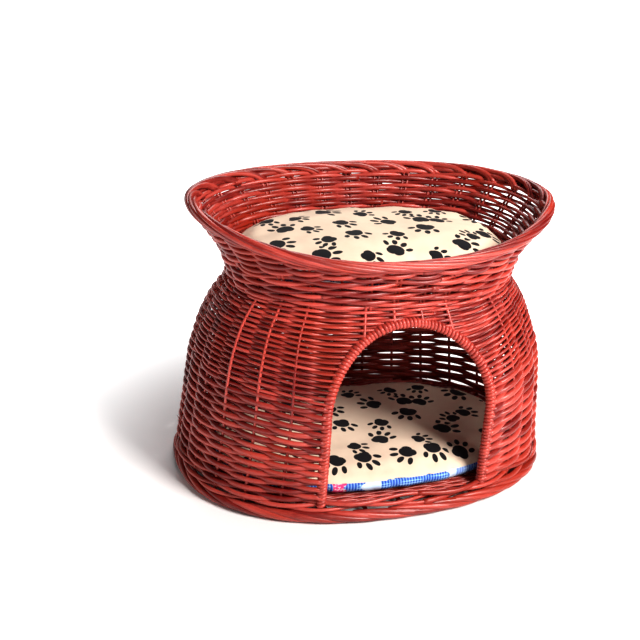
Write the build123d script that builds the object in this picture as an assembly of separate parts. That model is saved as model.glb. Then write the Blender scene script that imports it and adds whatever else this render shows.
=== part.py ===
"""Two-storey wicker pet bed basket: a cave with an arched door, an open tray on top and two oval cushions.

Row frame, in millimetres: origin at the centre of the foot on the floor, +X along the length, -Y out of the
door and +Z up. Every woven wall is drawn as its outer and its inner passes, with the stakes in the gap between
them, and every piece is written to parts/NODE.step.
"""

import math
import os
from build123d import *

# Driving sizes of the basket.
HEIGHT = 400.0
NECK_Z = 290.0
FOOT_HALF_LENGTH = 280.0
FOOT_HALF_WIDTH = 206.0
OVAL_POWER = 2.3  # 2 is a true ellipse, more is boxier
OVAL_ARCS = 12

# Centre line of the woven wall: height, half length, half width.
WALL_STATIONS = [
    (18.0, 269.0, 189.0),
    (84.0, 261.0, 193.0),
    (150.0, 253.0, 196.0),
    (180.0, 249.0, 190.5),
    (206.0, 244.0, 181.5),
    (230.0, 236.0, 169.5),
    (253.0, 225.0, 154.5),
    (272.0, 212.0, 143.0),
    (290.0, 198.0, 133.5),
    (310.0, 203.0, 136.5),
    (335.0, 213.5, 144.0),
    (360.0, 230.0, 154.0),
    (388.0, 252.0, 168.0),
    (402.0, 264.0, 175.0),
]

# Rods and the layers of the wall, each measured square to its centre line.
STAKE_RADIUS = 2.3
BYE_STAKE_RADIUS = 2.0
PASS_NEAR = 3.4
PASS_FAR = 6.6
STAKE_COUNT = 30  # places round the basket, of which the door hoop's legs take two
DOOR_LEG_PLACE = 2  # the places either side of the door, counted from its middle
BYE_STAKE_GAP = 5.2  # from a stake's middle to the middle of the second stake beside it
SHARE_STEP = 0.002  # a short way round, which gives the wall's direction
WALL_LENGTH = 1180.0  # round the tray wall at half its height

# Heights where one weave ends and the next begins.
FOOT_TOP = 18.0
BOTTOM_WALE_TOP = 30.0
LOWER_WEAVE_TOP = 170.0
FINE_WEAVE_TOP = 288.0
NECK_WALE_TOP = 330.0

# Rim: level at the ends and the back, dipping to the front.
RIM_DEPTH = 16.0
RIM_HALF_THICKNESS = 8.0
RIM_FRONT_DIP = 43.0
RIM_FRONT_REACH = 152.0
FOOT_BORDER_THICKNESS = 18.0

# Door: straight jambs and a half-round head.
DOOR_HALF_WIDTH = 112.0
DOOR_TOP = 262.0
DOOR_BINDING_WIDTH = 14.0
DOOR_BINDING_HALF_DEPTH = 8.0
HOOP_INSET = 4.8
HOOP_WIDTH = 4.8
DOOR_HEAD_GAP = 1.5
CLEAR = 0.2
CUT_REACH = 320.0

# Floor and shelf: cross sticks, long sticks on them, and a woven oval on top.
STICK_DIAMETER = 6.0
FLOOR_CROSS_Z = 9.0
FLOOR_LONG_COUNT = 5
FLOOR_LONG_SPACING = 58.0
FLOOR_CROSS_COUNT = 9
FLOOR_CROSS_SPACING = 54.0
FLOOR_WEAVE_THICKNESS = 5.8
SHELF_CROSS_Z = 287.0
SHELF_LONG_COUNT = 5
SHELF_LONG_SPACING = 40.0
SHELF_CROSS_COUNT = 7
SHELF_CROSS_SPACING = 48.0
SHELF_WEAVE_THICKNESS = 5.7
SHELF_HOOP_WIDTH = 6.0
PANEL_GAP = 0.8

# Cushions: height above their underside, half length, half width of each ring.
CLOTH = 1.0
CLOTH_SLOPE = 1.6  # how much further in the cloth steps sideways, because its crown lies flat
FLOOR_CUSHION_PLACE = (0.0, -28.0, 24.3)
FLOOR_CUSHION_SEAM = 20.0
FLOOR_CUSHION_RINGS = [
    (0.0, 222.0, 138.0),
    (7.0, 232.0, 149.0),
    (16.0, 233.0, 150.0),
    (24.0, 226.0, 143.0),
    (30.0, 200.0, 121.0),
    (34.0, 145.0, 80.0),
]
TRAY_CUSHION_PLACE = (0.0, 0.0, 302.3)
TRAY_CUSHION_SEAM = 24.0
TRAY_CUSHION_RINGS = [
    (0.0, 176.0, 110.0),
    (10.0, 192.0, 125.0),
    (22.0, 199.0, 131.0),
    (32.0, 194.0, 126.0),
    (40.0, 172.0, 104.0),
    (45.0, 120.0, 66.0),
]


def oval_point(half_length, half_width, turn):
    """A point of the oval, with turn in radians from +X."""
    along, across = math.cos(turn), math.sin(turn)
    x = half_length * math.copysign(abs(along) ** (2 / OVAL_POWER), along)
    y = half_width * math.copysign(abs(across) ** (2 / OVAL_POWER), across)
    return x, y


def oval_face(z, half_length, half_width):
    """The oval as a level face, drawn as a ring of arcs."""
    turns = [math.pi * i / OVAL_ARCS for i in range(2 * OVAL_ARCS)]
    points = [oval_point(half_length, half_width, turn) for turn in turns]
    arcs = [ThreePointArc(*(points[(i + k) % len(points)] for k in range(3))) for i in range(0, len(points), 2)]
    return Pos(0, 0, z) * make_face(arcs)


def oval_half_chord(half_length, half_width, across):
    """Half the oval's length at a distance across from its long axis."""
    share = min(abs(across) / half_width, 1.0)
    return half_length * (1 - share**OVAL_POWER) ** (1 / OVAL_POWER)


def slope(values, i):
    """Run over rise of the wall at a station, from its neighbours."""
    low, high = max(i - 1, 0), min(i + 1, len(WALL_STATIONS) - 1)
    return (values[high] - values[low]) / (WALL_STATIONS[high][0] - WALL_STATIONS[low][0])


def wall_ring(z, offset=0.0):
    """Half length and half width of the wall at height z, moved offset square to its centre line."""
    lengths = [station[1] for station in WALL_STATIONS]
    widths = [station[2] for station in WALL_STATIONS]
    at = [
        (
            lengths[i] + offset * math.hypot(1, slope(lengths, i)),
            widths[i] + offset * math.hypot(1, slope(widths, i)),
        )
        for i in range(len(WALL_STATIONS))
    ]
    heights = [station[0] for station in WALL_STATIONS]
    i = max(k for k in range(len(heights) - 1) if heights[k] <= z or k == 0)
    share = (z - heights[i]) / (heights[i + 1] - heights[i])
    return tuple(at[i][k] + share * (at[i + 1][k] - at[i][k]) for k in (0, 1))


def inside_wall(low, high, gap):
    """The largest oval that stands inside the wall between two heights with a gap to it."""
    at = [wall_ring(z, -PASS_FAR) for z in (low, high)]
    return [min(sizes) - gap for sizes in zip(*at)]


def wall_solid(offset, low, high):
    """Everything inside the wall moved by offset, between two heights."""
    between = [station[0] for station in WALL_STATIONS if low < station[0] < high]
    rings = [oval_face(z, *wall_ring(z, offset)) for z in (low, *between, high)]
    return loft(rings, ruled=True)


def wall_layer(inner, outer, low, high):
    return wall_solid(outer, low, high) - wall_solid(inner, low, high)


def woven_band(low, high):
    """A band of weave: the passes outside the stakes and the passes inside them."""
    outer = wall_layer(PASS_NEAR, PASS_FAR, low, high)
    inner = wall_layer(-PASS_FAR, -PASS_NEAR, low, high)
    return Compound(children=[*outer.solids(), *inner.solids()])


def rim_height(y):
    """Height of the rim's top edge: it dips as a parabola in front of the middle."""
    return HEIGHT - (RIM_FRONT_DIP * (y / RIM_FRONT_REACH) ** 2 if y < 0 else 0.0)


def under_rim(drop):
    """Everything lower than the rim line by drop, as one block."""
    front = [(y, rim_height(y) - drop) for y in (0.0, -60.0, -120.0, -180.0, -240.0)]
    curve = Spline(*front, tangents=[(-1, 0), (-1, -2 * RIM_FRONT_DIP * 240 / RIM_FRONT_REACH**2)])
    back = Line((CUT_REACH, HEIGHT - drop), front[0])
    walls = Polyline(front[-1], (front[-1][0], 0), (CUT_REACH, 0), (CUT_REACH, HEIGHT - drop))
    profile = make_face([back, curve, *walls.edges()])
    return extrude(Plane.YZ * profile, CUT_REACH, both=True)


def door_block(margin, bottom=BOTTOM_WALE_TOP):
    """The door's outline grown by margin, as a block through the front wall only."""
    half = DOOR_HALF_WIDTH + margin
    spring = DOOR_TOP - DOOR_HALF_WIDTH
    jambs = Polyline((-half, spring), (-half, bottom), (half, bottom), (half, spring))
    head = RadiusArc((half, spring), (-half, spring), -half)
    if head.bounding_box().max.Y < spring + half / 2:
        head = RadiusArc((half, spring), (-half, spring), half)
    outline = make_face([*jambs.edges(), head])
    return Pos(0, -CUT_REACH / 4, 0) * extrude(Plane.XZ * outline, CUT_REACH)


def ring_place(sizes, share):
    """The point a share of the way round the oval by length, from the middle of its front, anticlockwise."""
    steps = 720
    turns = [-math.pi / 2 + 2 * math.pi * i / steps for i in range(steps + 1)]
    points = [oval_point(*sizes, turn) for turn in turns]
    lengths = [math.dist(a, b) for a, b in zip(points, points[1:])]
    goal = share * sum(lengths)
    i = 0
    while i < steps - 1 and goal > lengths[i]:
        goal -= lengths[i]
        i += 1
    part = goal / lengths[i]
    return tuple(points[i][k] + part * (points[i + 1][k] - points[i][k]) for k in (0, 1))


def stake_plane(share, middle, aside=0.0):
    """The upright plane square to the wall at one place and one height, moved aside along the wall."""
    sizes = wall_ring(middle)
    x, y = ring_place(sizes, share)
    ahead_x, ahead_y = ring_place(sizes, (share + SHARE_STEP) % 1)
    length = math.hypot(ahead_x - x, ahead_y - y)
    along_x, along_y = (ahead_x - x) / length, (ahead_y - y) / length
    origin = (x + aside * along_x, y + aside * along_y, 0)
    return Plane(origin=origin, x_dir=(along_y, -along_x, 0), z_dir=(-along_x, -along_y, 0))


def upright(side, share, low, high, radius):
    """A square-edged rod in one plane, up the middle of the wall."""
    levels = [low, *(station[0] for station in WALL_STATIONS if low + 2 < station[0] < high - 2), high]
    line = []
    for z in levels:
        x, y = ring_place(wall_ring(z), share)
        line.append(((x - side.origin.X) * side.x_dir.X + (y - side.origin.Y) * side.x_dir.Y, z))
    outside = [(out + radius, z) for out, z in line]
    inside = [(out - radius, z) for out, z in reversed(line)]
    profile = make_face(Polyline(*outside, *inside, close=True))
    return extrude(side * profile, radius, both=True)


def under_rim_height(share, z):
    """Where a rod at this place of the wall meets the rim's underside, starting the search from height z."""
    for _ in range(4):
        z = rim_height(ring_place(wall_ring(z), share)[1]) - RIM_DEPTH
    return z - STAKE_RADIUS


def over_door_height(share):
    """Where a rod at this place of the front wall stands on the door's binding."""
    reach = DOOR_HALF_WIDTH + DOOR_BINDING_WIDTH
    x = abs(ring_place(wall_ring(DOOR_TOP), share)[0]) - STAKE_RADIUS
    return DOOR_TOP - DOOR_HALF_WIDTH + math.sqrt(reach**2 - x**2) + DOOR_HEAD_GAP


def stake_share(place):
    """Where a stake stands, as a share of the way round, with the door's middle between places -1 and 0."""
    return ((place + 0.5) / STAKE_COUNT) % 1


def bar(start, end, z, diameter):
    """A straight round stick lying level, cut off square at its ends."""
    line = Line((*start, z), (*end, z))
    return sweep(Plane(origin=line @ 0, z_dir=line % 0) * Circle(diameter / 2), path=line)


def stick_rows(half_length, half_width, z, count, spacing, along_x):
    """Parallel sticks that fill an oval, along X or along Y."""
    sticks = []
    for k in range(count):
        side = (k - (count - 1) / 2) * spacing
        if along_x:
            reach = oval_half_chord(half_length, half_width, abs(side) + STICK_DIAMETER / 2)
            sticks.append(bar((-reach, side), (reach, side), z, STICK_DIAMETER))
        else:
            reach = oval_half_chord(half_width, half_length, abs(side) + STICK_DIAMETER / 2)
            sticks.append(bar((side, -reach), (side, reach), z, STICK_DIAMETER))
    return Compound(children=sticks)


def oval_slab(z, thickness, half_length, half_width):
    return extrude(oval_face(z, half_length, half_width), thickness)


def crowned(rings, inset):
    """A crowned oval body standing on z = 0, drawn inside its rings by inset all over."""
    top = rings[-1][0]
    heights = [inset + ring[0] * (top - 2 * inset) / top for ring in rings]
    sizes = [(ring[1] - CLOTH_SLOPE * inset, ring[2] - CLOTH_SLOPE * inset) for ring in rings]
    return loft([oval_face(z, *size) for z, size in zip(heights, sizes)], ruled=True)


def cushion(rings, seam):
    """Filling, top cloth and under cloth of a crowned oval cushion."""
    cloth = crowned(rings, 0) - crowned(rings, CLOTH)
    above = Pos(0, 0, seam + CUT_REACH / 2) * Box(2 * CUT_REACH, 2 * CUT_REACH, CUT_REACH)
    return crowned(rings, CLOTH + CLEAR), cloth & above, cloth - above


def write(name, shape):
    solids = shape.solids()
    whole = solids[0] if len(solids) == 1 else Compound(children=solids)
    export_step(whole, f"parts/{name}.step")
    print(f"{name}: {len(solids)} solids, {sum(s.volume for s in solids) / 1000:.0f} cm3")


def make_foot_and_floor():
    foot = oval_slab(0, FOOT_TOP, FOOT_HALF_LENGTH, FOOT_HALF_WIDTH)
    inside = (FOOT_HALF_LENGTH - FOOT_BORDER_THICKNESS, FOOT_HALF_WIDTH - FOOT_BORDER_THICKNESS)
    write("foot_border", foot - oval_slab(0, FOOT_TOP, *inside))
    reach = (inside[0] - PANEL_GAP, inside[1] - PANEL_GAP)
    cross = stick_rows(*reach, FLOOR_CROSS_Z, FLOOR_CROSS_COUNT, FLOOR_CROSS_SPACING, along_x=False)
    write("floor_cross_sticks", cross)
    long_z = FLOOR_CROSS_Z + STICK_DIAMETER
    write("floor_long_sticks", stick_rows(*reach, long_z, FLOOR_LONG_COUNT, FLOOR_LONG_SPACING, along_x=True))
    panel_z = long_z + STICK_DIAMETER / 2 + CLEAR
    panel = inside_wall(panel_z, panel_z + FLOOR_WEAVE_THICKNESS, PANEL_GAP)
    write("floor_weave", oval_slab(panel_z, FLOOR_WEAVE_THICKNESS, *panel))


def make_walls():
    doorway = door_block(DOOR_BINDING_WIDTH + CLEAR)
    write("bottom_wale", woven_band(FOOT_TOP, BOTTOM_WALE_TOP))
    write("lower_weave", woven_band(BOTTOM_WALE_TOP, LOWER_WEAVE_TOP) - doorway)
    write("fine_weave", woven_band(LOWER_WEAVE_TOP, FINE_WEAVE_TOP) - doorway)
    write("neck_wale", woven_band(FINE_WEAVE_TOP, NECK_WALE_TOP))
    write("tray_weave", woven_band(NECK_WALE_TOP, WALL_STATIONS[-1][0]) & under_rim(RIM_DEPTH))
    thick = wall_layer(-RIM_HALF_THICKNESS, RIM_HALF_THICKNESS, NECK_WALE_TOP, WALL_STATIONS[-1][0])
    write("rim_border", (thick & under_rim(0)) - under_rim(RIM_DEPTH))


def make_stakes():
    full, over_door, beside = [], [], []
    for place in range(STAKE_COUNT):
        share = stake_share(place)
        top = under_rim_height(share, HEIGHT - RIM_DEPTH)
        from_middle = min(place, STAKE_COUNT - 1 - place)
        low = over_door_height(share) if from_middle < DOOR_LEG_PLACE else FOOT_TOP
        middle = (low + top) / 2
        stake = upright(stake_plane(share, middle), share, low, top, STAKE_RADIUS)
        if from_middle < DOOR_LEG_PLACE:
            over_door.append(stake)
        elif from_middle > DOOR_LEG_PLACE:
            full.append(stake)
        bye_share = share + BYE_STAKE_GAP / WALL_LENGTH
        bye_plane = stake_plane(share, middle, BYE_STAKE_GAP)
        beside.append(upright(bye_plane, bye_share, NECK_Z, under_rim_height(bye_share, top), BYE_STAKE_RADIUS))
    write("wall_stakes", Compound(children=full))
    write("door_head_stakes", Compound(children=over_door))
    write("tray_bye_stakes", Compound(children=beside))


def make_door():
    core_low, core_high = HOOP_INSET, HOOP_INSET + HOOP_WIDTH
    middle = wall_layer(-STAKE_RADIUS, STAKE_RADIUS, FOOT_TOP, FINE_WEAVE_TOP)
    hoop = middle & (door_block(core_high, FOOT_TOP) - door_block(core_low, FOOT_TOP - 1))
    write("door_hoop", hoop)
    tunnel = wall_layer(-STAKE_RADIUS - CLEAR, STAKE_RADIUS + CLEAR, FOOT_TOP, FINE_WEAVE_TOP)
    tunnel = tunnel & (door_block(core_high + CLEAR, FOOT_TOP) - door_block(core_low - CLEAR, FOOT_TOP - 1))
    thick = wall_layer(-DOOR_BINDING_HALF_DEPTH, DOOR_BINDING_HALF_DEPTH, BOTTOM_WALE_TOP, FINE_WEAVE_TOP)
    binding = thick & (door_block(DOOR_BINDING_WIDTH) - door_block(0, BOTTOM_WALE_TOP - 1))
    write("door_binding", binding - tunnel)


def make_shelf():
    low_z = SHELF_CROSS_Z - STICK_DIAMETER / 2
    long_z = SHELF_CROSS_Z + STICK_DIAMETER
    hoop_z = long_z - STICK_DIAMETER / 2
    panel_z = long_z + STICK_DIAMETER / 2 + CLEAR
    panel_top = panel_z + SHELF_WEAVE_THICKNESS
    reach = inside_wall(NECK_Z, NECK_Z, PANEL_GAP)
    cross = stick_rows(*reach, low_z + STICK_DIAMETER / 2, SHELF_CROSS_COUNT, SHELF_CROSS_SPACING, along_x=False)
    write("shelf_cross_sticks", cross)
    inner = [size - SHELF_HOOP_WIDTH for size in reach]
    hoop = oval_slab(hoop_z, STICK_DIAMETER, *reach) - oval_slab(hoop_z, STICK_DIAMETER, *inner)
    write("shelf_hoop", hoop)
    inner_reach = [size - PANEL_GAP for size in inner]
    long_sticks = stick_rows(*inner_reach, long_z, SHELF_LONG_COUNT, SHELF_LONG_SPACING, along_x=True)
    write("shelf_long_sticks", long_sticks)
    write("shelf_weave", oval_slab(panel_z, SHELF_WEAVE_THICKNESS, *inside_wall(panel_z, panel_top, PANEL_GAP)))


def make_cushions():
    cushions = (
        ("floor_cushion", FLOOR_CUSHION_PLACE, FLOOR_CUSHION_RINGS, FLOOR_CUSHION_SEAM),
        ("tray_cushion", TRAY_CUSHION_PLACE, TRAY_CUSHION_RINGS, TRAY_CUSHION_SEAM),
    )
    for name, place, rings, seam in cushions:
        filling, top_cloth, under_cloth = cushion(rings, seam)
        write(f"{name}_filling", Pos(*place) * filling)
        write(f"{name}_top_cloth", Pos(*place) * top_cloth)
        write(f"{name}_under_cloth", Pos(*place) * under_cloth)


os.makedirs("parts", exist_ok=True)
make_foot_and_floor()
make_walls()
make_stakes()
make_door()
make_shelf()
make_cushions()
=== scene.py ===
# %% [markdown]
# # A wicker pet bed basket
# The basket is woven from red-stained, varnished willow: a cave with an arched door below, and a flared
# tray on top, each with an oval cushion. The CAD model gives every place and size. This script keeps them,
# and weaves each wall rod by rod round them, because the over and under of the rods is what makes wicker
# look like wicker.

# %% Load the frame
import math
import random
import bmesh
import bpy
import numpy as np
from mathutils import Matrix, Vector, noise


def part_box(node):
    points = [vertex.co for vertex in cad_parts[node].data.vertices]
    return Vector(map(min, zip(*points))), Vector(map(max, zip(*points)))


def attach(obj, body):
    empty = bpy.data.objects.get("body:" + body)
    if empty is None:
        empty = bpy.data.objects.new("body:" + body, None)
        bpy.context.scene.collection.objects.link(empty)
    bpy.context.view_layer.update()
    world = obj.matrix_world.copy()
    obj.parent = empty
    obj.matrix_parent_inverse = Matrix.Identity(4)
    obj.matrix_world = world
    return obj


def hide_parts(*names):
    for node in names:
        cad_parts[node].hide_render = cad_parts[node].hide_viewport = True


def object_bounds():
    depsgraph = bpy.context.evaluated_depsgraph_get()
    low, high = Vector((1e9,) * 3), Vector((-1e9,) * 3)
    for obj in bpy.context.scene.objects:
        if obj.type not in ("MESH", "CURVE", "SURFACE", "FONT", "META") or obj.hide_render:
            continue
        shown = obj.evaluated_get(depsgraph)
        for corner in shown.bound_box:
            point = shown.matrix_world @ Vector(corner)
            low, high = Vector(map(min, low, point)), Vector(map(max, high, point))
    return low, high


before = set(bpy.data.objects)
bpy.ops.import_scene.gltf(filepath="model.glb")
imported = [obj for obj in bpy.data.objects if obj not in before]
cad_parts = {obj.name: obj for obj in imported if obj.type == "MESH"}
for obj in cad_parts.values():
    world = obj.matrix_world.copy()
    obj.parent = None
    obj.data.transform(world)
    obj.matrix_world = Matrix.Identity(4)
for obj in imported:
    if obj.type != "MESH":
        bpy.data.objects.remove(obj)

cad_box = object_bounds()
MM = 0.001
UP = Vector((0, 0, 1))
print("CAD box, lowest and highest corner:", cad_box)


def add_object(name, data):
    """A new object in the scene."""
    added = bpy.data.objects.new(name, data)
    bpy.context.scene.collection.objects.link(added)
    return added

# %% [markdown]
# ## Camera
# The basket is seen from its front left and a little above, close enough that the tray shows its inside. The
# camera is set by the angles that it looks along and by how far it stands from the middle of the basket.

# %% Camera
VIEW_TURN = math.radians(-22.39)
VIEW_DOWN = math.radians(23.59)
VIEW_ROLL = math.radians(3.25)
VIEW_DISTANCE = 1.652
VIEW_CENTRE = Vector((0.0, 0.0, 0.1966))
LOOK_RIGHT, LOOK_UP = -0.0674, 0.0084
LENS_MM, SENSOR_MM = 63.6, 36.0


def make_camera():
    """A camera that looks at the basket's middle, moved sideways without a turn, then rolled."""
    back = Vector((
        math.sin(VIEW_TURN) * math.cos(VIEW_DOWN),
        -math.cos(VIEW_TURN) * math.cos(VIEW_DOWN),
        math.sin(VIEW_DOWN),
    ))
    right = (-back).cross(UP).normalized()
    up = right.cross(-back)
    place = VIEW_CENTRE + back * VIEW_DISTANCE
    target = VIEW_CENTRE + right * LOOK_RIGHT + up * LOOK_UP
    look = (target - place).normalized()
    side = look.cross(UP).normalized()
    head = side.cross(look)
    side, head = (
        side * math.cos(VIEW_ROLL) + head * math.sin(VIEW_ROLL),
        head * math.cos(VIEW_ROLL) - side * math.sin(VIEW_ROLL),
    )
    turn = Matrix((side, head, -look)).transposed().to_4x4()
    camera = add_object("camera", bpy.data.cameras.new("camera"))
    camera.data.lens = LENS_MM
    camera.data.sensor_width = SENSOR_MM
    camera.matrix_world = Matrix.Translation(place) @ turn
    bpy.context.scene.camera = camera
    return camera


camera = make_camera()
print("camera stands at", [round(v, 3) for v in camera.location])

# %% [markdown]
# ## The shape of the wall
# Every rod follows the wall, so the first tool is a function that gives a point of the wall from how far
# round it is, how high, and how far outside its middle. The wall's sizes are read from the CAD skins.

# %% Measure the wall
OVAL_POWER = 2.3  # 2 is a true ellipse, more is boxier
WALL_NODES = ("bottom_wale", "lower_weave", "fine_weave", "neck_wale", "tray_weave", "rim_border")
WALL_LEVELS = 48
NEAR_X_AXIS, NEAR_Y_AXIS = 12 * MM, 16 * MM  # half widths of the strips that are read along the two axes


def edge_ends(nodes):
    """The two ends of every edge of some CAD nodes, as two arrays."""
    starts, stops = [], []
    for name in nodes:
        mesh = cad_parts[name].data
        places = np.array([v.co for v in mesh.vertices])
        pairs = np.array([e.vertices[:] for e in mesh.edges])
        starts.append(places[pairs[:, 0]])
        stops.append(places[pairs[:, 1]])
    return np.concatenate(starts), np.concatenate(stops)


def section(ends, z):
    """Where the edges cross a level, as x, y rows."""
    a, b = ends
    crosses = (a[:, 2] - z) * (b[:, 2] - z) < 0
    a, b = a[crosses], b[crosses]
    share = ((z - a[:, 2]) / (b[:, 2] - a[:, 2]))[:, None]
    return (a + share * (b - a))[:, :2]


def half_sizes(points):
    """Half length and half width of the wall's middle: between its outermost and its innermost skin."""
    on_x = np.abs(points[np.abs(points[:, 1]) < NEAR_X_AXIS][:, 0])
    on_y = points[(np.abs(points[:, 0]) < NEAR_Y_AXIS) & (points[:, 1] > 0)][:, 1]
    return (on_x.max() + on_x.min()) / 2, (on_y.max() + on_y.min()) / 2


WALL_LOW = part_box("bottom_wale")[0].z
WALL_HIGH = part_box("rim_border")[1].z - MM
wall_ends = edge_ends(WALL_NODES)
wall_heights = np.linspace(WALL_LOW + MM, WALL_HIGH - MM, WALL_LEVELS)
wall_sizes = np.array([half_sizes(section(wall_ends, z)) for z in wall_heights])
averaged = (wall_sizes[:-2] + 2 * wall_sizes[1:-1] + wall_sizes[2:]) / 4
smoothed = np.vstack([wall_sizes[:1], averaged, wall_sizes[-1:]])
print("wall at the bottom", wall_sizes[0].round(4), "and at the top", wall_sizes[-1].round(4))

# %% Points of the wall
TURN_STEPS = 720
STEP_SHARE, STEP_HEIGHT = 0.0015, 2 * MM  # how far apart the wall is sampled to find which way it faces

def oval(half_length, half_width, turns):
    """Points of the squarish oval, with turns in radians from +X."""
    along, across = np.cos(turns), np.sin(turns)
    x = half_length * np.sign(along) * np.abs(along) ** (2 / OVAL_POWER)
    y = half_width * np.sign(across) * np.abs(across) ** (2 / OVAL_POWER)
    return np.stack([x, y], axis=-1)


def share_turns(half_length, half_width):
    """Turn angles and the share of the way round at each, from the middle of the front, anticlockwise."""
    turns = np.linspace(-math.pi / 2, 1.5 * math.pi, TURN_STEPS + 1)
    steps = np.linalg.norm(np.diff(oval(half_length, half_width, turns), axis=0), axis=1)
    return turns, np.concatenate([[0.0], np.cumsum(steps)]) / steps.sum()


SHARE_GRID = np.linspace(0, 1, TURN_STEPS + 1)
turns_mid, shares_mid = share_turns(*wall_sizes[len(wall_sizes) // 2])
TURN_OF_SHARE = np.interp(SHARE_GRID, shares_mid, turns_mid)


def wall_at(shares, heights):
    """Points of the wall's middle."""
    turns = np.interp(np.mod(shares, 1.0), SHARE_GRID, TURN_OF_SHARE)
    sizes = [np.interp(heights, wall_heights, smoothed[:, k]) for k in (0, 1)]
    flat = oval(sizes[0], sizes[1], turns)
    return np.column_stack([flat, np.broadcast_to(heights, np.shape(turns))])


def unit(rows):
    """Rows of numbers, each scaled to length one."""
    return rows / np.linalg.norm(rows, axis=1)[:, None]


def wall_points(shares, heights, offsets):
    """Points at some offsets outside the wall's middle, square to it."""
    shares, heights, offsets = np.broadcast_arrays(shares, heights, offsets)
    along = wall_at(shares + STEP_SHARE, heights) - wall_at(shares - STEP_SHARE, heights)
    up = wall_at(shares, heights + STEP_HEIGHT) - wall_at(shares, heights - STEP_HEIGHT)
    return wall_at(shares, heights) + unit(np.cross(along, up)) * offsets[:, None]


front = wall_points(np.array([0.0]), np.array([0.15]), np.array([0.0]))
print("the front of the wall at mid height:", front.round(4))

# %% [markdown]
# ## A willow rod
# A rod is a long round stick that thins towards its tip. A curve with a round bevel makes exactly that: the
# curve is the rod's middle and each point's radius its thickness. Rods of one weave go in one curve object,
# which becomes one mesh. Each rod's own tone is kept in an attribute, so the stain can vary from rod to rod.

# %% Rods to mesh
ROD_BEVEL = 2  # gives eight faces round a rod


class Rods:
    """Collects rods and makes one piece of them."""

    def __init__(self, name, seed):
        self.name = name
        self.chance = random.Random(seed)
        self.curve = bpy.data.curves.new(name, "CURVE")
        self.curve.dimensions = "3D"
        self.curve.bevel_depth = 1.0
        self.curve.bevel_resolution = ROD_BEVEL
        self.curve.use_fill_caps = True
        self.tones = []

    def add(self, points, radii, tone=None):
        """Adds one rod through these points, with a radius for each or one for all."""
        points = np.asarray(points, float)
        count = len(points)
        radii = np.broadcast_to(radii, count)
        spline = self.curve.splines.new("POLY")
        spline.points.add(count - 1)
        spline.points.foreach_set("co", np.column_stack([points, np.ones(count)]).ravel())
        spline.points.foreach_set("radius", np.ascontiguousarray(radii, dtype=float))
        spline.use_smooth = True
        self.tones.append(self.chance.random() if tone is None else tone)

    def finish(self, *replaces):
        """Turns the rods into one willow piece of the basket, in the place of these CAD nodes."""
        holder = bpy.data.objects.new(self.name + "_curve", self.curve)
        mesh = bpy.data.meshes.new_from_object(holder)
        bpy.data.objects.remove(holder)
        bpy.data.curves.remove(self.curve)
        mesh.name = self.name
        tone = tones_by_island(mesh, self.tones)
        attribute = mesh.attributes.new("rod_tone", "FLOAT", "POINT")
        attribute.data.foreach_set("value", tone)
        piece = add_object(self.name, mesh)
        close_mesh(mesh)
        mesh.materials.clear()
        mesh.materials.append(willow)
        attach(piece, "basket")
        if replaces:
            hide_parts(*replaces)
        triangles = sum(len(p.vertices) - 2 for p in mesh.polygons)
        print(f"{self.name}: {len(self.tones)} rods, {triangles} triangles")


def tones_by_island(mesh, tones):
    """A tone for each vertex: the mesh holds the rods one after another, in the order they were added."""
    parent = np.arange(len(mesh.vertices))
    pairs = np.array([e.vertices[:] for e in mesh.edges])
    while True:
        low = np.minimum(parent[pairs[:, 0]], parent[pairs[:, 1]])
        new = parent.copy()
        np.minimum.at(new, pairs[:, 0], low)
        np.minimum.at(new, pairs[:, 1], low)
        new = new[new]
        if (new == parent).all():
            break
        parent = new
    islands = {root: k for k, root in enumerate(sorted(set(parent.tolist())))}
    values = np.array(tones, np.float32)
    return np.array([values[islands[root] % len(values)] for root in parent.tolist()], np.float32)


def close_mesh(mesh):
    """Merges the caps' corners with their rod's, and turns every face outwards."""
    bm = bmesh.new()
    bm.from_mesh(mesh)
    bmesh.ops.remove_doubles(bm, verts=bm.verts, dist=0.02 * MM)
    bmesh.ops.recalc_face_normals(bm, faces=bm.faces)
    for face in bm.faces:
        face.smooth = True
    bm.to_mesh(mesh)
    bm.free()


# %% [markdown]
# ## Materials
# The willow is stained red and varnished, so it is glossy. The stain lies darker in some rods, in patches and
# in fine streaks. All of it is worked out from object coordinates, squeezed in height so that the streaks run
# along the rows, and from the tone kept on each rod.

# %% Node helpers


def new_group(name, inputs, outputs):
    """An empty shader node group with named sockets: (name, type) each."""
    tree = bpy.data.node_groups.new(name, "ShaderNodeTree")
    for way, sockets in (("INPUT", inputs), ("OUTPUT", outputs)):
        for socket, kind in sockets:
            tree.interface.new_socket(socket, in_out=way, socket_type="NodeSocket" + kind)
    return tree, tree.nodes.new("NodeGroupInput"), tree.nodes.new("NodeGroupOutput")


def feed(tree, node, values):
    """Fills a node's inputs, by name or number: a number or tuple is held, a socket is linked."""
    for key, value in values.items():
        if isinstance(value, (int, float, tuple)):
            node.inputs[key].default_value = value
        else:
            tree.links.new(value, node.inputs[key])


def new_node(tree, kind, values=None, **settings):
    """A shader node with its settings made and its inputs fed."""
    node = tree.nodes.new("ShaderNode" + kind)
    for name, value in settings.items():
        setattr(node, name, value)
    feed(tree, node, values or {})
    return node


def math_node(tree, operation, *values):
    """A Math node's result, from sockets or numbers."""
    return new_node(tree, "Math", dict(enumerate(values)), operation=operation).outputs[0]


def vector_node(tree, operation, *values):
    """A Vector Math node's result, from sockets or tuples."""
    node = new_node(tree, "VectorMath", dict(enumerate(values)), operation=operation)
    return node.outputs[1] if operation == "LENGTH" else node.outputs[0]


def scale_vector(tree, vector, factor):
    """A vector times a number."""
    return new_node(tree, "VectorMath", {0: vector, "Scale": factor}, operation="SCALE").outputs[0]


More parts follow.
